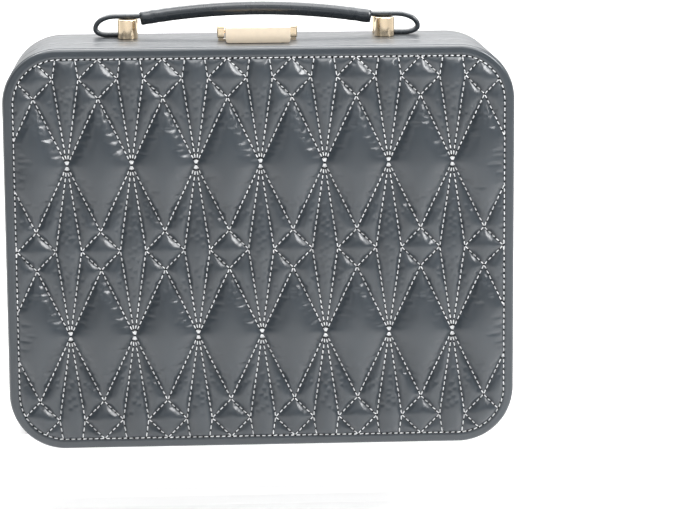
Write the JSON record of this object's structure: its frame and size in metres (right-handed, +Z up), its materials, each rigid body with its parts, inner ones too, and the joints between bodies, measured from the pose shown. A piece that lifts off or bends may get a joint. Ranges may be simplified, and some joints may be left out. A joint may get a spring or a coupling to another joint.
{
  "type": "travel jewelry case",
  "caption": "Upright leather-covered jewelry case with a quilted hinged lid, flap clasp, rolled handle on posts, and a lined interior with ring rolls, dividers, mirror and a small lift-out box.",
  "frame": {"origin": "under the middle of the bounding box, on the surface the case stands on", "axes": "+X along the case's width, the quilted front faces -Y, +Z up towards the handle"},
  "size_m": [0.28, 0.094, 0.2422],
  "materials": {
    "leather": "semi-gloss slate grey leatherette with fine grain",
    "quilted_leather": "quilted semi-gloss slate grey leatherette",
    "handle_leather": "smooth dark slate leatherette",
    "velvet": "short-pile velvet lining",
    "velvet_roll": "short-pile velvet over foam",
    "board": "bare fibreboard",
    "foam": "open-cell foam",
    "gold": "polished champagne gold plating",
    "gold_satin": "satin-brushed champagne gold plating",
    "steel": "plain zinc-plated steel",
    "magnet": "nickel-plated magnet",
    "mirror": "silvered mirror",
    "satin": "gathered satin with an elastic edge"
  },
  "bodies": {
    "case_body": {"body_frame": "board", "back_board": "board", "body_wrap": "leather", "back_cover": "leather", "body_lip": "velvet", "body_lining": "velvet", "divider_centre": "velvet", "divider_upper": "velvet", "divider_lower": "velvet", "divider_short": "velvet", "ring_rolls": "velvet_roll", "travel_box_base": "leather", "travel_box_lid": "leather", "travel_box_hinge": "leather", "travel_box_magnets": "magnet", "travel_box_lining": "velvet", "travel_box_divider": "velvet", "travel_box_rolls": "velvet_roll", "hinge_leaf_body_left": "gold", "hinge_leaf_body_right": "gold", "hinge_pin_left": "steel", "hinge_pin_right": "steel", "hinge_screws_body": "steel", "post_left_front": "gold", "post_left_rear": "gold", "post_right_front": "gold", "post_right_rear": "gold", "cross_pin_left": "gold", "cross_pin_right": "gold", "post_washers": "steel", "post_nuts": "steel", "clasp_base": "gold", "clasp_pin": "gold", "clasp_rivets": "gold"},
    "lid": {"lid_frame": "board", "front_board": "board", "front_foam": "foam", "quilted_cover": "quilted_leather", "lid_wrap": "leather", "lid_lining": "velvet", "mirror": "mirror", "mirror_bezel": "gold", "hook_rail": "gold", "necklace_hooks": "gold", "necklace_pocket": "satin", "pocket_elastic": "satin", "strike_plate": "gold", "strike_rivets": "gold", "hinge_leaf_lid_left": "gold", "hinge_leaf_lid_right": "gold", "hinge_screws_lid": "steel"},
    "handle": {"handle_tube": "handle_leather", "handle_core": "foam", "handle_strap_left": "handle_leather", "handle_strap_right": "handle_leather"},
    "flap": {"clasp_flap": "gold_satin", "clasp_magnet": "magnet"}
  },
  "joints": [
    {"name": "lid_hinge", "type": "hinge", "parent": "case_body", "child": "lid", "pos_m": [0, -0.012, 0.0022], "axis": [1, 0, 0], "range_deg": [0, 95]},
    {"name": "clasp_flip", "type": "hinge", "parent": "case_body", "child": "flap", "pos_m": [0, -0.003, 0.2276], "axis": [-1, 0, 0], "range_deg": [0, 100]},
    {"name": "handle_lift", "type": "slide", "parent": "case_body", "child": "handle", "axis": [0, 0, 1], "range_m": [0, 0.005]}
  ]
}
